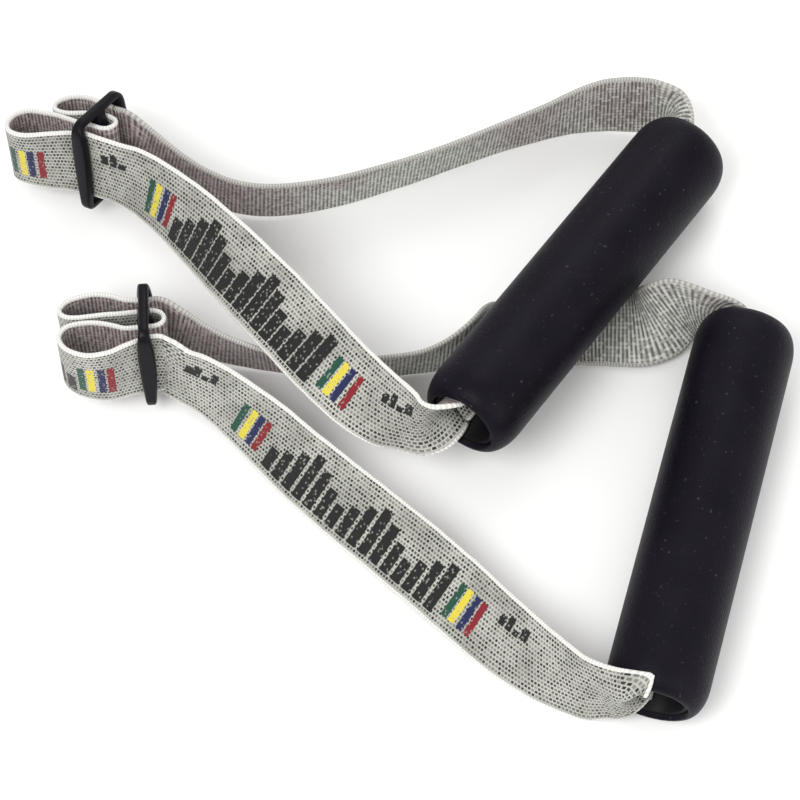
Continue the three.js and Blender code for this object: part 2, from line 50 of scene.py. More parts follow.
LAYOUT_CENTRE = Vector((-1.85, -3.04, 0.0))
WEBBING_WIDTH = 25.4
GRIP_LENGTH = 132.0
GRIP_RADIUS = 16.0
GRIP_END_DEPTH = 9.5
FOAM_BORE = 11.3
TUBE_OUTER = 11.0
TUBE_BORE = 9.5
TUBE_RECESS = 1.5
CURL_RADIUS = 8.4
EDGE_ANGLE = WEBBING_WIDTH / 2 / CURL_RADIUS
LAP_CURL_RADIUS = 6.5
LAP_HALF = 17.0
TAIL_INSET = 10.0
SLIDER_WIDTH = 25.0
SLIDER_HEIGHT = 35.0
SLIDER_DEPTH = 5.4
OUTER_BAR = 3.2
CENTRE_BAR = 4.2
SLIDER_RAIL = 2.5
AT_CENTRE_BAR = 3.3
AT_OUTER_BAR = 8.1
LOBE_UPRIGHT = 0.6  # how far a lobe's end turns from the slider's tilt to upright
LOBE_REACH = 20.0

# The grip is its centre, heading and slope, and the slider its centre, heading, climb and lean.
# The mouths, runs and slacks are (x, y, z, lean in degrees) along the webbing's middle, the
# lobes are (along, across) from the slider's centre, and over_rim explains the rims' rows.

FRONT = {
    "name": "front",
    "grip": ((93.6, -45.1, 16), 74.3, 0),
    "slider": ((-79.8, 10.1, 19.9), 4, 0, 16.6),
    "far_rim": [
        ((12.5, 2.2, -12.2), (15, 2, 0), (12.5, 2.2, 12.2), 0.12),
        ((7, 2.4, -10.8), (11.5, 2.2, 0), (7, 2.4, 10.8), 0.45),
        ((2.4, 1.8, -9), (9.3, 1.6, 0), (2.4, 1.8, 9), 0.85),
        ((0.8, 0.6, -8.4), (8.5, 0, 0), (0.8, 0.6, 8.4), 1),
        ((0.5, -4, -8.4), (8.4, -4, 0), (0.5, -4, 8.4), 1),
    ],
    "far_mouth": [],
    "far_run": [
        (91.4, 26.5, 13.5, 18), (87.2, 25.8, 11.4, 38), (82.8, 24.2, 7.5, 62),
        (78.0, 23.4, 4.4, 77), (71.5, 23.9, 2.7, 84), (63.5, 24.2, 2.0, 88),
        (55.5, 24.1, 2.0, 89), (48.0, 23.4, 2.3, 87), (40.5, 21.4, 3.1, 83),
        (34.0, 18.8, 5.8, 69), (28.0, 15.6, 10.0, 45), (22.0, 12.7, 12.8, 16),
        (15.9, 10.3, 13.1, -2), (8.0, 7.8, 13.0, -10), (0.0, 6.4, 13.0, -12),
        (-10.0, 5.5, 13.0, -13), (-21.0, 5.4, 13.0, -13), (-31.5, 6.2, 13.0, -13),
        (-41.0, 7.8, 13.0, -12),
    ],
    "far_slack": [
        (-49.0, 9.6, 13.5, -9), (-56.5, 11.6, 14.3, -5), (-63.5, 13.8, 15.4, 1),
        (-70.0, 16.2, 16.4, 9),
    ],
    "far_lobe": [
        (-6, 9.4), (-10.5, 11.9), (-16, 13.6), (-21, 13.3), (-25, 11.4), (-27, 8), (-25.2, 5.3),
        (-21, 4.5), (-14, 4.4), (-7, 3.7),
    ],
    "near_lobe": [
        (-6, -2.9), (-10, -0.9), (-15, 1.2), (-21, 1.9), (-25.4, 0.2), (-27, -4), (-24.4, -8.8),
        (-18.6, -12), (-12, -12.2), (-6.4, -10.2),
    ],
    "near_slack": [
        (-71.5, 1.0, 20.4, 17), (-65.8, -1.3, 18.9, 19), (-58.8, -4.6, 17.1, 22),
        (-50.4, -10.7, 15.2, 29),
    ],
    "near_run": [
        (-41.0, -18.7, 13.6, 37), (-31.4, -27.7, 12.2, 43), (-18.7, -38.8, 11.0, 49),
        (-6.2, -49.4, 10.2, 52), (6.2, -60.4, 10.2, 54), (18.5, -72.1, 10.6, 53),
        (30.6, -84.1, 11.6, 48), (42.0, -94.0, 13.0, 39),
    ],
    "near_mouth": [(51.4, -100.6, 14.4, 28), (57.0, -103.7, 15.5, 24)],
    "near_rim": [
        ((11.9, 3.6, -11.5), (13.9, 1.2, 0.7), (13.4, -4, 12.8), 0.1),
        ((8.7, 2.8, -10.5), (10.6, 2.6, 1.5), (9.6, -4, 13.7), 0.3),
        ((5.2, 1.1, -9.3), (9.3, 1.8, 2.6), (4.6, -3.9, 15.6), 0.6, (0, 1.4, 0)),
        ((2.4, -1.7, -8.05), (8.6, 0, 0.5), (1.2, -3.4, 16), 0.8, (0, 3.4, -1.2)),
        ((1, -4.6, -8.3), (8.4, -2.5, 0), (1.6, 1.8, 13.4), 1, (-0.5, 1, -2.5)),
        ((0.5, -6.5, -8.4), (8.4, -5, 0), (1.8, 1.5, 9.3), 1, (-0.3, -0.4, -1.3)),
        ((0.5, -8, -8.4), (8.4, -6.8, 0), (1, -1.8, 8.3), 1),
    ],
}

REAR = {
    "name": "rear",
    "grip": ((57, 31.6, 22.5), 54.5, 6.5),
    "slider": ((-97, 80, 21.2), -28.1, 14, 20),
    "far_rim": [
        ((11, 9.4, -11.6), (13.5, 8.2, 0), (11, 9.4, 11.6), 0.25),
        ((5, 7, -10.1), (10, 6, 0), (5, 7, 10.1), 0.6),
        ((1.5, 3, -8.8), (8.7, 2.5, 0), (1.5, 3, 8.8), 0.9),
        ((0.5, -1, -8.4), (8.4, -1, 0), (0.5, -1, 8.4), 1),
        ((0.5, -4, -8.4), (8.4, -4, 0), (0.5, -4, 8.4), 1),
    ],
    "far_mouth": [(85.6, 100.9, 13.9, 9)],
    "far_run": [
        (79.7, 101.7, 13.4, 13), (73.5, 102.0, 13.2, 13), (66.5, 101.5, 13.1, 10),
        (57.5, 99.2, 13.1, 3), (46.3, 94.8, 13.1, -4), (33.0, 89.5, 13.1, -8),
        (19.8, 83.8, 13.1, -10), (6.6, 78.3, 13.1, -10), (-6.6, 73.6, 13.1, -9),
        (-19.6, 69.4, 13.1, -8), (-32.7, 66.6, 13.2, -7), (-44.1, 65.6, 13.6, -6),
        (-54.0, 66.7, 14.3, -5),
    ],
    "far_slack": [
        (-63.5, 69.9, 15.5, -2), (-71.8, 74.0, 17.0, 2), (-79.4, 78.4, 18.6, 8),
        (-85.6, 82.0, 19.8, 15),
    ],
    "far_lobe": [
        (-6, 9.3), (-10, 10.3), (-14.8, 10), (-18.8, 7.8), (-20.2, 4.4), (-18.2, 1.1), (-13, 0.2),
        (-7, 2.2),
    ],
    "near_lobe": [
        (-6, -3.2), (-10, -2.6), (-15, -2), (-20.5, -2), (-25.6, -3.4), (-28.2, -7.2),
        (-27.9, -12), (-24.8, -15.4), (-19.4, -15.6), (-13, -13.2), (-6.6, -10.2),
    ],
    "near_slack": [
        (-91.8, 69.4, 25.0, 21), (-84.2, 65.0, 26.6, 26), (-75.4, 57.5, 28.2, 32),
        (-67.0, 49.0, 29.6, 39),
    ],
    "near_run": [
        (-58.7, 39.4, 31.4, 46), (-50.5, 29.6, 33.0, 52), (-40.8, 18.3, 33.9, 57),
        (-31.2, 7.2, 34.0, 59), (-21.8, -3.4, 33.4, 57), (-12.6, -12.4, 32.2, 51),
    ],
    "near_mouth": [(-4.6, -18.5, 31.5, 41), (2.2, -21.7, 31.1, 23)],
    "near_rim": [
        ((5.6, 10.4, -12.2), (9.9, 8, -0.5), (11, 7, 11.4), 0.15),
        ((0.8, 5.6, -10.2), (8.8, 4.3, -0.3), (6.6, 5.6, 10.4), 0.5),
        ((-0.6, 1.6, -8.6), (8.6, 1, 0), (2, 0.9, 9.3), 0.85),
        ((-0.6, -3, -8.3), (8.4, -2.5, 0), (0.5, -2, 8.4), 1),
        ((0.2, -6, -8.4), (8.4, -6, 0), (0.5, -6, 8.4), 1),
    ],
}

# ---- frames and routes, in layout millimetres ----------------------------------------

UP = Vector((0, 0, 1))


def direction(heading, climb):
    """The unit vector with this heading from +X and this climb, in degrees."""
    flat = math.cos(math.radians(climb))
    return Vector((
        flat * math.cos(math.radians(heading)),
        flat * math.sin(math.radians(heading)),
        math.sin(math.radians(climb)),
    ))


def width_direction(along, lean):
    """Across a strip that runs along, upright at lean 0 and tipped to its left by lean degrees."""
    left = UP.cross(along).normalized()
    upright = along.cross(left)
    return upright * math.cos(math.radians(lean)) + left * math.sin(math.radians(lean))


def grip_frame(handle):
    centre, heading, slope = handle["grip"]
    along = direction(heading, -slope)
    width = width_direction(along, 0)
    outward = along.cross(width)
    return {"centre": Vector(centre), "along": along, "width": width, "outward": outward}


def slider_frame(handle):
    centre, heading, climb, lean = handle["slider"]
    along = direction(heading, climb)
    height = width_direction(along, lean)
    across = height.cross(along)
    return {"centre": Vector(centre), "along": along, "height": height, "across": across}


# A station is a function from the distance across the webbing, -12.7 to 12.7, to a point.

def in_bore(grip, distance, radius):
    """Curled against the bore."""
    def at(q):
        angle = q / radius
        return (
            grip["centre"] + grip["along"] * distance
            - grip["outward"] * (radius * math.cos(angle))
            + grip["width"] * (radius * math.sin(angle))
        )
    return {"at": at, "point": at(0)}


def over_rim(grip, end, row):
    """From (distance from the axis, beyond the grip's end, height) at the bottom, middle and top.

    end is 1 at the grip's far end and -1 at its near end. The fourth value is how rounded the row
    is, and the last moves the middle of its upper half.
    """
    bottom, middle, top, curled, *bulge = row

    def at(q):
        share = abs(q) / (WEBBING_WIDTH / 2)
        angle = share * EDGE_ANGLE
        inward = (1 - math.cos(angle)) / (1 - math.cos(EDGE_ANGLE))
        upward = share + (math.sin(angle) / math.sin(EDGE_ANGLE) - share) * curled
        shares = (inward, inward, upward)
        edge = bottom if q < 0 else top
        radius, beyond, rise = (m + (e - m) * f for m, e, f in zip(middle, edge, shares))
        if bulge and q > 0:
            swell = 4 * share * (1 - share)
            radius, beyond, rise = (
                v + swell * b for v, b in zip((radius, beyond, rise), bulge[0])
            )
        return (
            grip["centre"] + grip["along"] * (end * (GRIP_LENGTH / 2 + beyond))
            - grip["outward"] * radius + grip["width"] * rise
        )
    return {"at": at, "point": at(0)}


def on_slider(slider, along, across):
    """A station by its place from the slider's centre, turned upright as the lobe goes out."""
    point = slider["centre"] + slider["along"] * along + slider["across"] * across
    share = LOBE_UPRIGHT * min(1.0, max(0.0, -along / LOBE_REACH))
    return {"point": point, "width": slider["height"].lerp(UP, share).normalized()}


def run_stations(rows, sign):
    return [{"point": Vector((x, y, z)), "lean": sign * lean} for x, y, z, lean in rows]


def settled(stations):
    """Gives each flat station its width direction and its function."""
    for i, here in enumerate(stations):
        if "lean" in here:
            along = (stations[i + 1]["point"] - stations[i - 1]["point"]).normalized()
            here["width"] = width_direction(along, here["lean"])
        if "width" in here:
            here["at"] = lambda q, here=here: here["point"] + here["width"] * q
    return stations


def far_route(handle):
    grip = grip_frame(handle)
    slider = slider_frame(handle)
    return settled([
        in_bore(grip, -LAP_HALF, LAP_CURL_RADIUS),
        in_bore(grip, LAP_HALF, LAP_CURL_RADIUS),
        in_bore(grip, LAP_HALF + 10, CURL_RADIUS),
        in_bore(grip, GRIP_LENGTH / 2 - TAIL_INSET, CURL_RADIUS),
        *(over_rim(grip, 1, row) for row in reversed(handle["far_rim"])),
        *run_stations(handle["far_mouth"], -1),
        *run_stations(handle["far_run"], -1),
        *run_stations(handle["far_slack"], -1),
        on_slider(slider, SLIDER_DEPTH, AT_OUTER_BAR),
        on_slider(slider, 0.05, AT_OUTER_BAR),
    ])


def near_route(handle):
    grip = grip_frame(handle)
    slider = slider_frame(handle)
    return settled([
        on_slider(slider, 0.05, -AT_OUTER_BAR),
        on_slider(slider, SLIDER_DEPTH, -AT_OUTER_BAR),
        *run_stations(handle["near_slack"], 1),
        *run_stations(handle["near_run"], 1),
        *run_stations(handle["near_mouth"], 1),
        *(over_rim(grip, -1, row) for row in handle["near_rim"]),
        in_bore(grip, TAIL_INSET - GRIP_LENGTH / 2, CURL_RADIUS),
        in_bore(grip, LAP_HALF, CURL_RADIUS),
    ])


def lobe_route(handle):
    slider = slider_frame(handle)
    edge = SLIDER_DEPTH / 2
    turn = []
    for a in (90, 45, 0, -45, -90):
        angle = math.radians(a)
        turn.append((
            edge + AT_CENTRE_BAR * math.cos(angle), AT_CENTRE_BAR * math.sin(angle)
        ))
    rows = [
        (-0.05, AT_OUTER_BAR), *handle["far_lobe"], (0, AT_CENTRE_BAR), *turn,
        (0, -AT_CENTRE_BAR), *handle["near_lobe"], (-0.05, -AT_OUTER_BAR),
    ]
    return settled([on_slider(slider, along, across) for along, across in rows])


def blend4(a, b, c, d, t):
    """Catmull-Rom between b and c."""
    return 0.5 * (
        2 * b + (c - a) * t + (2 * a - 5 * b + 4 * c - d) * t * t
        + (3 * b - a - 3 * c + d) * t ** 3
    )


def grid_of(stations, across, spacing):
    """Rows of points on the webbing's middle surface, one point for each distance across."""
    controls = [[s["at"](q) for q in across] for s in stations]
    flat = ["width" in s for s in stations]
    first = [2 * a - b for a, b in zip(controls[0], controls[1])]
    last = [2 * a - b for a, b in zip(controls[-1], controls[-2])]
    rows = [first, *controls, last]
    middle = across.index(0.0)
    full = across[-1] - across[0]
    grid = []
    for i in range(1, len(rows) - 2):
        a, b, c, d = rows[i - 1:i + 3]
        steps = max(1, round((c[middle] - b[middle]).length / spacing))
        for s in range(steps):
            row = [blend4(*ctrl, s / steps) for ctrl in zip(a, b, c, d)]
            if flat[i - 1] and flat[i]:
                scale = full / (row[-1] - row[0]).length
                row = [row[middle] + (p - row[middle]) * scale for p in row]
            grid.append(row)
    grid.append(controls[-1])
    return grid


def to_world(point):
    """From layout millimetres to the frame's metres."""
    return (point - LAYOUT_CENTRE) / 1000


# ---- meshes --------------------------------------------------------------------------

def new_object(name, vertices, faces, materials, face_materials=None, uvs=None):
    """A smooth mesh object. uvs has a (u, v) pair for each corner of each face."""
    mesh = bpy.data.meshes.new(name)
    mesh.from_pydata([tuple(v) for v in vertices], [], faces)
    for material in materials:
        mesh.materials.append(material)
    if face_materials:
        mesh.polygons.foreach_set("material_index", face_materials)
    mesh.polygons.foreach_set("use_smooth", [True] * len(mesh.polygons))
    if uvs:
        layer = mesh.uv_layers.new(name="cloth")
        flat = [c for face in uvs for corner in face for c in corner]
        layer.data.foreach_set("uv", flat)
    mesh.update()
    mesh.validate()
    obj = bpy.data.objects.new(name, mesh)
    bpy.context.scene.collection.objects.link(obj)
    return obj


CELLS = 14  # strips across the flat part of the webbing
EDGE_DEPTH = 0.9  # of the rounded edge beside it
FLAT_HALF = WEBBING_WIDTH / 2 - EDGE_DEPTH
EDGE_STEPS = (0.25, 0.0)
FACE_LEVEL = 0.72  # from the webbing's middle surface to a face
SELVEDGE_LEVEL = 0.8
EDGE_LEVEL = 0.55
ROW_SPACING = 1.5
OUTER_FACE, EDGE, INNER_FACE = range(3)  # the webbing's material slots, in order
SLOW_WAVE = (0.004, 0.31)  # share of the width, radians a millimetre
FAST_WAVE = (0.003, 0.83)


def distances_across():
    """From the bottom edge to the top edge, with 0 in the middle."""
    inner = [-FLAT_HALF + 2 * FLAT_HALF * c / CELLS for c in range(CELLS + 1)]
    inner[CELLS // 2] = 0.0
    beyond = [WEBBING_WIDTH / 2 - step for step in EDGE_STEPS]
    return [-q for q in reversed(beyond)] + inner + beyond


def webbing_outline():
    """(number across, level, part) round a section: outer face, top edge, inner, bottom edge."""
    top = CELLS + 4
    face = [
        (c + 2, SELVEDGE_LEVEL if c in (0, CELLS) else FACE_LEVEL) for c in range(CELLS + 1)
    ]
    return [
        *((c, level, OUTER_FACE) for c, level in face),
        (top - 1, EDGE_LEVEL, EDGE), (top, 0.0, EDGE), (top - 1, -EDGE_LEVEL, EDGE),
        *((c, -level, INNER_FACE) for c, level in reversed(face)),
        (1, -EDGE_LEVEL, EDGE), (0, 0.0, EDGE), (1, EDGE_LEVEL, EDGE),
    ]


def row_normals(before, row, after):
    """The outer face's direction at each point of a row."""
    last = len(row) - 1
    normals = []
    for c in range(len(row)):
        crossing = row[min(c + 1, last)] - row[max(c - 1, 0)]
        normals.append((after[c] - before[c]).cross(crossing).normalized())
    return normals


def width_share(run, phase):
    """The width here as a share of the full width, which varies a little in two waves."""
    share = 1 + SLOW_WAVE[0] * math.sin(run * SLOW_WAVE[1] + phase)
    return share + FAST_WAVE[0] * math.sin(run * FAST_WAVE[1])


def webbing_object(name, stations, materials, phase):
    """A strip of webbing through its stations, and its length in metres."""
    across = distances_across()
    middle = across.index(0.0)
    grid = grid_of(stations, across, ROW_SPACING)
    outline = webbing_outline()
    around = len(outline)
    runs = [0.0]
    for before, here in zip(grid, grid[1:]):
        runs.append(runs[-1] + (here[middle] - before[middle]).length)
    vertices = []
    for r, row in enumerate(grid):
        share = width_share(runs[r], phase)
        normals = row_normals(grid[max(r - 1, 0)], row, grid[min(r + 1, len(grid) - 1)])
        for c, level, _ in outline:
            point = row[middle] + (row[c] - row[middle]) * share
            vertices.append(to_world(point + normals[c] * level))
    faces, kinds, uvs = [], [], []
    for r in range(len(grid) - 1):
        for k in range(around):
            n = (k + 1) % around
            here, there = r * around, (r + 1) * around
            faces.append((here + k, there + k, there + n, here + n))
            pair = {outline[k][2], outline[n][2]}
            kinds.append(EDGE if EDGE in pair else outline[k][2])
            a, b = ((across[outline[j][0]] + WEBBING_WIDTH / 2) / 1000 for j in (k, n))
            y0, y1 = runs[r] / 1000, runs[r + 1] / 1000
            uvs.append([(a, y0), (a, y1), (b, y1), (b, y0)])
    last = (len(grid) - 1) * around
    faces.append(tuple(range(around)))
    faces.append(tuple(reversed(range(last, last + around))))
    kinds += [EDGE, EDGE]
    for _ in range(2):
        uvs.append([(0.0, 0.0)] * around)
    obj = new_object(name, vertices, faces, materials, kinds, uvs)
    return obj, runs[-1] / 1000


def turned_object(name, frame_, profile, segments, material):
    """A closed ring turned about the grip's axis from (radius, distance) points."""
    vertices, faces = [], []
    count = len(profile)
    for s in range(segments):
        angle = 2 * math.pi * s / segments
        radial = frame_["outward"] * math.cos(angle) + frame_["width"] * math.sin(angle)
        for radius, distance in profile:
            on_axis = frame_["centre"] + frame_["along"] * distance
            vertices.append(to_world(on_axis + radial * radius))
    for s in range(segments):
        n = (s + 1) % segments
        for k in range(count):
            m = (k + 1) % count
            faces.append((s * count + k, s * count + m, n * count + m, n * count + k))
    return new_object(name, vertices, faces, [material])


# ---- materials -----------------------------------------------------------------------

class Shader:
    """A material's nodes, with short calls for the ones used here."""

    def __init__(self, name):
        self.material = bpy.data.materials.new(name)
        self.material.use_nodes = True
        self.tree = self.material.node_tree
        self.principled = self.tree.nodes["Principled BSDF"]

    def node(self, kind, **settings):
        made = self.tree.nodes.new(kind)
        for key, value in settings.items():
            setattr(made, key, value)
        return made

    def feed(self, socket, value):
        if isinstance(value, bpy.types.NodeSocket):
            self.tree.links.new(value, socket)
        else:
            socket.default_value = value

    def math(self, operation, *values):
        made = self.node("ShaderNodeMath", operation=operation)
        for socket, value in zip(made.inputs, values):
            self.feed(socket, value)
        return made.outputs[0]

    def ramp(self, value, low, high, to_low=0.0, to_high=1.0):
        """to_low up to low, to_high from high on, and smooth between them."""
        made = self.node("ShaderNodeMapRange", interpolation_type="SMOOTHSTEP")
        for socket, v in zip(made.inputs, (value, low, high, to_low, to_high)):
            self.feed(socket, v)
        return made.outputs["Result"]

    def mix(self, factor, a, b):
        made = self.node("ShaderNodeMix", data_type="RGBA")
        self.feed(made.inputs["Factor"], factor)
        self.feed(made.inputs["A"], a)
        self.feed(made.inputs["B"], b)
        return made.outputs["Result"]

    def noise(self, vector, scale, detail):
        """Soft noise with this many cells a metre."""
        made = self.node("ShaderNodeTexNoise")
        self.feed(made.inputs["Vector"], vector)
        made.inputs["Scale"].default_value = scale
        made.inputs["Detail"].default_value = detail
        return made.outputs["Fac"]

    def cell_noise(self, x, y):
        """A chance value from 0 to 1 for each pair of whole numbers."""
        joined = self.node("ShaderNodeCombineXYZ")
        self.feed(joined.inputs[0], x)
        self.feed(joined.inputs[1], y)
        made = self.node("ShaderNodeTexWhiteNoise", noise_dimensions="2D")
        self.feed(made.inputs["Vector"], joined.outputs[0])
        return made.outputs["Value"]

    def place(self):
        """The place on the object, in metres."""
        return self.node("ShaderNodeTexCoord").outputs["Object"]

    def bump(self, height, distance):
        """Relief in which a height of 1 stands this many metres proud."""
        made = self.node("ShaderNodeBump")
        made.inputs["Distance"].default_value = distance
        self.feed(made.inputs["Height"], height)
        self.feed(self.principled.inputs["Normal"], made.outputs["Normal"])

    def finish(self, colour, roughness):
        """Sets the colour and the roughness, and returns the material."""
        self.feed(self.principled.inputs["Base Color"], colour)
        self.feed(self.principled.inputs["Roughness"], roughness)
        return self.material


def rgb(red, green, blue):
    """A colour from 0 to 255 values as the eye reads them, made linear."""
    def linear(v):
        v /= 255
        return v / 12.92 if v <= 0.04045 else ((v + 0.055) / 1.055) ** 2.4
    return (linear(red), linear(green), linear(blue), 1.0)


INK = {
    "black": rgb(9, 10, 9),
    "navy": rgb(19, 25, 72),
    "green": rgb(12, 68, 52),
    "red": rgb(122, 14, 28),
    "yellow": rgb(208, 192, 60),
}


THREAD_PITCH = 1.38
OUTER_ROW_PITCH = 1.15
INNER_ROW_PITCH = 1.3
MOTIF_STEP = (0.69, 0.575)  # half a thread by half a row
OUTER_SELVEDGE = (11.6, 11.9)  # where it begins, from the webbing's middle
INNER_SELVEDGE = (11.3, 11.8)
SELVEDGE_TWIST = 5.2  # radians a millimetre
EDGE_TWIST = 6.6
OUTER_ROUGHNESS = 0.88
INNER_ROUGHNESS = 0.92


def cloth_axes(s):
    """Millimetres across and along the webbing."""
    uv = s.node("ShaderNodeUVMap", uv_map="cloth").outputs[0]
    parts = s.node("ShaderNodeSeparateXYZ")
    s.feed(parts.inputs[0], uv)
    x, y = (s.math("MULTIPLY", part, 1000.0) for part in parts.outputs[:2])
    return x, y


def weave_cells(s, x, y, row_pitch):
    """Column, row and distances from the cell's middle, for threads in a staggered grid."""
    cx = s.math("DIVIDE", x, THREAD_PITCH)
    column = s.math("FLOOR", cx)
    shift = s.math("MULTIPLY", s.math("PINGPONG", column, 1.0), 0.5)
    cy = s.math("ADD", s.math("DIVIDE", y, row_pitch), shift)
    row = s.math("FLOOR", cy)
    dx = s.math("ABSOLUTE", s.math("SUBTRACT", s.math("SUBTRACT", cx, column), 0.5))
    dy = s.math("ABSOLUTE", s.math("SUBTRACT", s.math("SUBTRACT", cy, row), 0.5))
    return column, row, dx, dy


def stepped(s, value, pitch):
    """The middle of the step that value falls in, as a woven pattern has it."""
    whole = s.math("FLOOR", s.math("DIVIDE", value, pitch))
    return s.math("MULTIPLY", s.math("ADD", whole, 0.5), pitch)


def box_mask(s, x, y, boxes):
    """1 inside any of the boxes (x centre, x half, y centre, y half), else 0."""
    total = None
    for cx, hx, cy, hy in boxes:
        inside = s.math(
            "MULTIPLY", s.math("COMPARE", x, cx, hx), s.math("COMPARE", y, cy, hy)
        )
        total = inside if total is None else s.math("MAXIMUM", total, inside)
    return total


def webbing_outer(name, motifs):
    """Light threads with dark dots in staggered rows, plain selvedges and woven motifs."""
    s = Shader(name)
    x, y = cloth_axes(s)
    column, row, dx, dy = weave_cells(s, x, y, OUTER_ROW_PITCH)
    chance = s.cell_noise(column, row)
    from_middle = s.math("ABSOLUTE", s.math("SUBTRACT", x, WEBBING_WIDTH / 2))
    selvedge = s.ramp(from_middle, *OUTER_SELVEDGE)
    dot = s.math("MULTIPLY", s.ramp(dx, 0.38, 0.26), s.ramp(dy, 0.42, 0.28))
    dot = s.math("MULTIPLY", dot, s.ramp(chance, 0.0, 1.0, 0.5, 1.0))
    dot = s.math("MULTIPLY", dot, s.math("SUBTRACT", 1.0, selvedge))
    soil = s.noise(s.place(), 90.0, 3.0)
    white = s.mix(s.ramp(soil, 0.3, 0.7), rgb(160, 160, 152), rgb(186, 186, 178))
    colour = s.mix(dot, white, rgb(26, 25, 22))
    colour = s.mix(selvedge, colour, rgb(224, 224, 219))
    step_x, step_y = (stepped(s, v, pitch) for v, pitch in zip((x, y), MOTIF_STEP))
    cover = s.ramp(s.cell_noise(step_x, step_y), 0.9, 0.94, 1.0, 0.5)
    for ink, boxes in motifs.items():
        mask = s.math("MULTIPLY", box_mask(s, step_x, step_y, boxes), cover)
        colour = s.mix(mask, colour, INK[ink])
    thread = s.math("SUBTRACT", 1.0, s.math("MAXIMUM", dx, dy))
    twist = s.math("SINE", s.math("MULTIPLY", y, SELVEDGE_TWIST))
    turns = s.math("MULTIPLY", s.math("MULTIPLY", twist, selvedge), 0.3)
    s.bump(s.math("ADD", thread, turns), 0.00035)
    s.principled.inputs["Sheen Weight"].default_value = 0.15
    return s.finish(colour, OUTER_ROUGHNESS)


def webbing_inner(name, unshaded_until, fully_shaded_from):
    """Ribs across, grey up to the first given distance in millimetres along the piece, then darker
    and brownish as painted shade, full from the second distance on.

    Random brownish patches lie in the grey part too.
    """
    s = Shader(name)
    x, y = cloth_axes(s)
    # Painted shade: from the given distances on, the face takes the darker brownish colours below.
    # These stand for the shade near the slider and in the lobes.
    painted_shade_and_patches = s.ramp(y, unshaded_until, fully_shaded_from)
    patches = s.ramp(s.noise(s.place(), 26.0, 2.0), 0.46, 0.62, 0.0, 0.75)
    # The random patches join the painted shade in one blend.
    painted_shade_and_patches = s.math("MAXIMUM", painted_shade_and_patches, patches)
    column, row, dx, _ = weave_cells(s, x, y, INNER_ROW_PITCH)
    chance = s.cell_noise(column, row)
    from_middle = s.math("ABSOLUTE", s.math("SUBTRACT", x, WEBBING_WIDTH / 2))
    selvedge = s.ramp(from_middle, *INNER_SELVEDGE)
    rib = s.math("SINE", s.math("MULTIPLY", y, 2 * math.pi / INNER_ROW_PITCH))
    rib = s.ramp(rib, -0.95, 0.75)
    floating = s.math("MULTIPLY", s.ramp(dx, 0.42, 0.26), s.ramp(chance, 0.1, 0.9))
    # In each pair the second, brownish colour is the painted shade.
    dark = s.mix(painted_shade_and_patches, rgb(104, 104, 99), rgb(86, 71, 75))
    light = s.mix(painted_shade_and_patches, rgb(204, 206, 198), rgb(176, 163, 162))
    body = s.mix(rib, dark, light)
    bright = s.mix(painted_shade_and_patches, rgb(228, 229, 222), rgb(206, 198, 194))
    colour = s.mix(s.math("MULTIPLY", floating, 0.5), body, bright)
    sunk = s.ramp(s.cell_noise(row, column), 0.66, 0.74, 0.0, 0.38)
    colour = s.mix(sunk, colour, dark)
    colour = s.mix(s.math("MULTIPLY", selvedge, 0.4), colour, rgb(206, 204, 197))
    s.bump(s.math("ADD", rib, s.math("MULTIPLY", dx, -0.6)), 0.00025)
    s.principled.inputs["Sheen Weight"].default_value = 0.1
    return s.finish(colour, INNER_ROUGHNESS)


def webbing_edge(name, dark, light):
    """Thread turns along an edge."""
    s = Shader(name)
    _, y = cloth_axes(s)
    twist = s.ramp(s.math("SINE", s.math("MULTIPLY", y, EDGE_TWIST)), -1.0, 1.0)
    colour = s.mix(twist, dark, light)
    s.bump(twist, 0.00012)
    return s.finish(colour, OUTER_ROUGHNESS)


def foam_material():
    """Near-black closed foam with fine pores and a few pale specks."""
    s = Shader("foam")
    place = s.place()
    grain = s.noise(place, 2600.0, 2.0)
    broad = s.noise(place, 60.0, 3.0)
    cell = s.node("ShaderNodeTexVoronoi", feature="F1")
    s.feed(cell.inputs["Vector"], place)
    cell.inputs["Scale"].default_value = 1100.0
    pore = s.ramp(cell.outputs["Distance"], 0.1, 0.5)
    colour = s.mix(s.ramp(broad, 0.3, 0.7), rgb(12, 9, 18), rgb(18, 14, 25))
    speck = s.ramp(s.noise(place, 700.0, 1.0), 0.7, 0.78)
    colour = s.mix(s.math("MULTIPLY", speck, 0.3), colour, rgb(92, 86, 104))
    s.bump(s.math("ADD", s.math("MULTIPLY", pore, 0.6), s.math("MULTIPLY", grain, 0.4)), 0.00012)
    s.principled.inputs["Specular IOR Level"].default_value = 0.1
    return s.finish(colour, s.ramp(broad, 0.2, 0.8, 0.42, 0.5))


def slider_material():
    """Near-black moulded plastic, faintly grained."""
    s = Shader("slider_plastic")
    place = s.place()
    grain = s.noise(place, 1500.0, 2.0)
    broad = s.noise(place, 120.0, 2.0)
    colour = s.mix(broad, rgb(10, 8, 13), rgb(16, 13, 20))
    s.bump(grain, 0.00004)
    s.principled.inputs["Specular IOR Level"].default_value = 0.14
    return s.finish(colour, s.ramp(broad, 0.3, 0.7, 0.3, 0.42))


def tube_material():
    """The duller plastic of the tube."""
    s = Shader("tube_plastic")
    broad = s.noise(s.place(), 200.0, 2.0)
    s.principled.inputs["Specular IOR Level"].default_value = 0.15
    colour = s.mix(broad, rgb(9, 8, 11), rgb(14, 13, 17))
    s.bump(broad, 0.00005)
    return s.finish(colour, 0.5)


def thread_material():
    """Off-white sewing thread."""
    s = Shader("thread")
    twist = s.noise(s.place(), 3000.0, 1.0)
    colour = s.mix(twist, rgb(206, 204, 196), rgb(238, 236, 230))
    s.bump(twist, 0.0001)
    return s.finish(colour, 0.7)


# ---- woven motifs: (middle across, half, middle along, half), in mm from the piece's start ----

COLOUR_PITCH = 3.1
COLOUR_INSET = 1.2
COLOUR_ACROSS = (11.0, 6.4)
COLOUR_HALF = 1.15


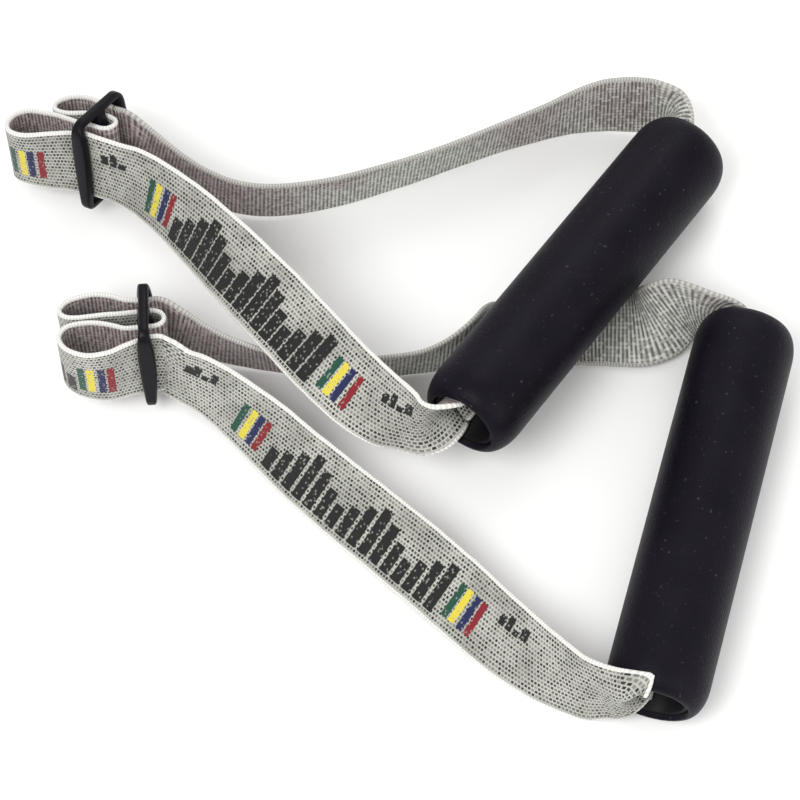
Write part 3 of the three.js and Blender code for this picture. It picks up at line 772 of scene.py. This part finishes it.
def colour_block(start):
    """Four short bars of colour side by side."""
    return {
        ink: [(*COLOUR_ACROSS, start + COLOUR_INSET + COLOUR_PITCH * i, COLOUR_HALF)]
        for i, ink in enumerate(("green", "yellow", "navy", "red"))
    }


BAR_PITCH = 4.6
BAR_WIDTH = 3.0
BAR_SPREAD = 0.35  # how far the thread spreads past a bar's width on either side
BAR_FOOT = 2.5
WAVE = (11, 14, 17, 20, 17, 14)  # where the bars end across the webbing


def bars(start, plan):
    """Black upright bars: (offset along, width along, low across, high across)."""
    return {"black": [
        ((low + high) / 2, (high - low) / 2, start + at + width / 2, width / 2 + BAR_SPREAD)
        for at, width, low, high in plan
    ]}


BIG_PLAN = [
    (BAR_PITCH * i, BAR_WIDTH, BAR_FOOT, high) for i, high in enumerate(WAVE * 2 + WAVE[:4])
]
SMALL_PLAN = [(0, 1.8, 15, 18.5), (3, 1.8, 15, 20), (6, 1.8, 15, 17), (9, 1.8, 16, 20)]


def together(*motifs):
    """One motif that has all the boxes of the others."""
    joined = {}
    for motif in motifs:
        for ink, boxes in motif.items():
            joined.setdefault(ink, []).extend(boxes)
    return joined


# ---- one handle ----------------------------------------------------------------------

SHARED = {
    # Painted shade: inner is the inner face painted shaded all along, for the near strap and the
    # lobes. far_inner is painted shaded only towards the slider.
    "inner": webbing_inner("webbing_inner_face_painted_shade", -2.0, -1.0),
    "far_inner": webbing_inner("webbing_far_inner_face_shaded_near_slider", 205.0, 245.0),
    "edge": webbing_edge("webbing_edges", rgb(206, 205, 199), rgb(232, 231, 227)),
    # Painted shade: far_edge gives the far strap's edges darker colours than the same webbing's
    # other edges.
    "far_edge": webbing_edge("webbing_far_edges_painted_shade", rgb(152, 150, 145), rgb(190, 188, 182)),
    "foam": foam_material(),
    "slider": slider_material(),
    "tube": tube_material(),
    "thread": thread_material(),
}


def rounded_rectangle(half_a, half_b, corner, spacing):
    """Points round a rectangle with rounded corners, anticlockwise."""
    out = []
    centres = ((1, 1, 0), (-1, 1, 90), (-1, -1, 180), (1, -1, 270))
    for i, (sa, sb, first) in enumerate(centres):
        ca, cb = sa * (half_a - corner), sb * (half_b - corner)
        for a in range(0, 91, 18):
            angle = math.radians(first + a)
            out.append((ca + corner * math.cos(angle), cb + corner * math.sin(angle)))
        na, nb, _ = centres[(i + 1) % 4]
        ta, tb = na * (half_a - corner), nb * (half_b - corner)
        here = out[-1]
        angle = math.radians(first + 90)
        there = (ta + corner * math.cos(angle), tb + corner * math.sin(angle))
        steps = max(1, round(math.dist(here, there) / spacing))
        for s in range(1, steps):
            out.append((
                here[0] + (there[0] - here[0]) * s / steps,
                here[1] + (there[1] - here[1]) * s / steps,
            ))
    return out


SLIDER_BEVEL = 1.1
SLIDER_CORNER = 3.2
SLOT_CORNER = 1.4
OUTLINE_SPACING = 1.6
WIDEST_AT = 0.3  # where the slider is deepest, as a share of its half height
SLIDER_TAPER = 0.48  # the share of that depth it loses towards its ends
SLIDER_BOW = 0.25


def slider_outline():
    """The slider's outline and its two slots, drawn in by the bevel that is added later."""
    half_a, half_b = SLIDER_WIDTH / 2, SLIDER_HEIGHT / 2
    slot_low, slot_high = CENTRE_BAR / 2, half_a - OUTER_BAR
    loops = [rounded_rectangle(
        half_a - SLIDER_BEVEL, half_b - SLIDER_BEVEL, SLIDER_CORNER, OUTLINE_SPACING
    )]
    for side in (-1, 1):
        middle = side * (slot_low + slot_high) / 2
        slot = rounded_rectangle(
            (slot_high - slot_low) / 2 + SLIDER_BEVEL, half_b - SLIDER_RAIL + SLIDER_BEVEL,
            SLOT_CORNER, OUTLINE_SPACING,
        )
        loops.append([(a + middle, b) for a, b in slot])
    return loops


def slider_object(handle):
    """Two bars and a centre bar, thinner towards both ends and slightly bowed."""
    curve = bpy.data.curves.new("slider_outline", "CURVE")
    curve.dimensions = "2D"
    curve.fill_mode = "BOTH"
    curve.extrude = SLIDER_DEPTH / 2 - SLIDER_BEVEL
    curve.bevel_depth = SLIDER_BEVEL
    curve.bevel_resolution = 3
    for loop in slider_outline():
        spline = curve.splines.new("POLY")
        spline.points.add(len(loop) - 1)
        for point, (a, b) in zip(spline.points, loop):
            point.co = (a, b, 0, 1)
        spline.use_cyclic_u = True
    carrier = bpy.data.objects.new("slider_outline", curve)
    bpy.context.scene.collection.objects.link(carrier)
    bpy.context.view_layer.update()
    source = carrier.evaluated_get(bpy.context.evaluated_depsgraph_get()).to_mesh()
    frame_ = slider_frame(handle)
    vertices = []
    for v in source.vertices:
        a, b, depth = v.co
        height = b / (SLIDER_HEIGHT / 2)
        from_widest = height - WIDEST_AT
        reach = 1 - WIDEST_AT if from_widest > 0 else 1 + WIDEST_AT
        depth *= 1 - SLIDER_TAPER * (from_widest / reach) ** 2
        depth -= SLIDER_BOW * height ** 2
        vertices.append(to_world(
            frame_["centre"] + frame_["across"] * a + frame_["height"] * b
            + frame_["along"] * depth
        ))
    faces = [tuple(p.vertices) for p in source.polygons]
    carrier.to_mesh_clear()
    bpy.data.objects.remove(carrier)
    obj = new_object(f"{handle['name']}_slider_frame", vertices, faces, [SHARED["slider"]])
    weld = obj.modifiers.new("weld", "WELD")
    weld.merge_threshold = 0.00002
    return obj


RIM_STEP = 0.2  # the flat ring at the bore's mouth
FOAM_SEGMENTS = 96
TUBE_SEGMENTS = 72
TUBE_CHAMFER = 0.3


def foam_object(handle):
    """A sleeve with rounded ends."""
    end = GRIP_LENGTH / 2
    shoulder = end - GRIP_END_DEPTH
    rim = FOAM_BORE + RIM_STEP
    rounding = [
        (rim + (GRIP_RADIUS - rim) * math.cos(math.radians(a)),
         shoulder + GRIP_END_DEPTH * math.sin(math.radians(a)))
        for a in range(0, 91, 6)
    ]
    body = [(GRIP_RADIUS, shoulder * t / 20) for t in range(-19, 20)]
    low = [(r, -d) for r, d in reversed(rounding)]
    inner = [(FOAM_BORE, end * t / 12) for t in range(12, -13, -1)]
    return turned_object(
        f"{handle['name']}_foam", grip_frame(handle), [*low, *body, *rounding, *inner],
        FOAM_SEGMENTS, SHARED["foam"],
    )


def tube_object(handle):
    """A plain tube with its corners broken."""
    end = GRIP_LENGTH / 2 - TUBE_RECESS
    c = TUBE_CHAMFER
    profile = [
        (TUBE_BORE + c, -end), (TUBE_OUTER - c, -end), (TUBE_OUTER, c - end),
        (TUBE_OUTER, end - c), (TUBE_OUTER - c, end), (TUBE_BORE + c, end),
        (TUBE_BORE, end - c), (TUBE_BORE, c - end),
    ]
    return turned_object(
        f"{handle['name']}_tube", grip_frame(handle), profile, TUBE_SEGMENTS, SHARED["tube"]
    )


PHASE = {"near": 0.4, "far": 1.7, "lobes": 2.9}  # of the waves in each piece's width


def build_handle(handle, motifs):
    """One handle's webbing, slider, foam and tube; the slider, foam and tube ride on their CAD
    bodies.
    """
    name = handle["name"]
    strap, slider, grip = f"{name}_strap", f"{name}_slider", f"{name}_grip"

    def cloth(kind):
        outer = webbing_outer(f"{name}_{kind}_outer_face", motifs[kind])
        # The far strap takes the inner face painted shaded only near the slider, and the edges
        # painted darker as shade. The other pieces take the inner face painted shaded all along.
        side = "far_" if kind == "far" else ""
        return [outer, SHARED[side + "edge"], SHARED[side + "inner"]]

    near, near_length = webbing_object(
        f"{name}_near_webbing", near_route(handle), cloth("near"), PHASE["near"]
    )
    far, far_length = webbing_object(
        f"{name}_far_webbing", far_route(handle), cloth("far"), PHASE["far"]
    )
    lobes, lobe_length = webbing_object(
        f"{name}_loop_webbing", lobe_route(handle), cloth("lobes"), PHASE["lobes"]
    )
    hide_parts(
        *(f"{name}_strap_{k}" for k in ("near_slack", "near_run", "near_mouth", "near_tail"))
    )
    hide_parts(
        *(f"{name}_strap_{k}" for k in ("far_slack", "far_run", "far_mouth", "far_tail"))
    )
    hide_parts(*(f"{name}_strap_{k}" for k in ("far_lobe", "bar_wrap", "near_lobe")))
    for piece in (near, far):
        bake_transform(piece)
    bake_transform(lobes)

    body = slider_object(handle)
    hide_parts(f"{name}_slider")
    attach(body, slider)
    foam = foam_object(handle)
    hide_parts(f"{name}_foam_grip")
    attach(foam, grip)
    tube = tube_object(handle)
    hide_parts(f"{name}_core_tube")
    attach(tube, grip)
    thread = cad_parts[f"{name}_lap_stitching"]
    thread.data.materials.clear()
    thread.data.materials.append(SHARED["thread"])


FRONT_MOTIFS = {
    "near": together(
        bars(12, SMALL_PLAN), colour_block(34), bars(49, BIG_PLAN), colour_block(124),
        bars(141, SMALL_PLAN),
    ),
    "far": together(bars(190, BIG_PLAN[:6])),
    "lobes": together(bars(6, BIG_PLAN[:5]), colour_block(115), bars(83, BIG_PLAN[3:7])),
}
REAR_MOTIFS = {
    "near": together(
        bars(6, SMALL_PLAN[:3]), colour_block(24), bars(38, BIG_PLAN), colour_block(113),
        bars(133, SMALL_PLAN),
    ),
    "far": together(bars(190, BIG_PLAN[:6])),
    "lobes": together(colour_block(102), bars(94, BIG_PLAN[:1])),
}


# ---- camera, floor and light ---------------------------------------------------------

CAMERA_CLIMB = 65  # degrees above the table
CAMERA_DISTANCE = 0.95
CAMERA_LENS = 133.07
FLOOR_HALF = 4.0
FLOOR_GAP = 0.0002  # keeps the floor just under what lies on it
LIGHTS = (
    ("key", (-0.5, -0.5, 1.1), 0.7, 9.0),
    ("fill", (0.8, -0.7, 0.6), 0.9, 4.0),
    ("back", (0.2, 0.9, 0.9), 0.8, 4.0),
)
WORLD_STRENGTH = 0.75


def add_camera():
    data = bpy.data.cameras.new("camera")
    data.sensor_width = 36.0
    data.lens = CAMERA_LENS
    data.clip_end = 20
    camera = bpy.data.objects.new("camera", data)
    climb = math.radians(CAMERA_CLIMB)
    target = to_world(Vector((0, 0, 0)))
    camera.location = target + Vector((0, -math.cos(climb), math.sin(climb))) * CAMERA_DISTANCE
    camera.rotation_euler = (math.radians(90 - CAMERA_CLIMB), 0, 0)
    bpy.context.scene.collection.objects.link(camera)
    bpy.context.scene.camera = camera


def add_floor():
    s = Shader("floor")
    soft = s.noise(s.place(), 3.0, 2.0)
    material = s.finish(s.mix(soft, rgb(247, 247, 246), rgb(251, 251, 250)), 0.9)
    mesh = bpy.data.meshes.new("floor")
    r = FLOOR_HALF
    mesh.from_pydata([(-r, -r, 0), (r, -r, 0), (r, r, 0), (-r, r, 0)], [], [(0, 1, 2, 3)])
    mesh.materials.append(material)
    obj = bpy.data.objects.new("floor", mesh)
    obj.location.z = -FLOOR_GAP
    bpy.context.scene.collection.objects.link(obj)


def add_light(name, location, size, energy):
    """A soft round light that faces the frame's origin."""
    data = bpy.data.lights.new(name, "AREA")
    data.shape = "DISK"
    data.size = size
    data.energy = energy
    light = bpy.data.objects.new(name, data)
    light.location = location
    light.rotation_euler = (-Vector(location)).to_track_quat("-Z", "Y").to_euler()
    bpy.context.scene.collection.objects.link(light)


def add_world():
    """Even white light from all sides."""
    world = bpy.data.worlds.new("studio")
    world.use_nodes = True
    background = world.node_tree.nodes["Background"]
    background.inputs["Color"].default_value = (1, 1, 1, 1)
    background.inputs["Strength"].default_value = WORLD_STRENGTH
    bpy.context.scene.world = world
    bpy.context.scene.view_settings.view_transform = "Standard"


add_camera()
add_floor()
for light in LIGHTS:
    add_light(*light)
add_world()

build_handle(FRONT, FRONT_MOTIFS)
build_handle(REAR, REAR_MOTIFS)

bpy.context.view_layer.update()
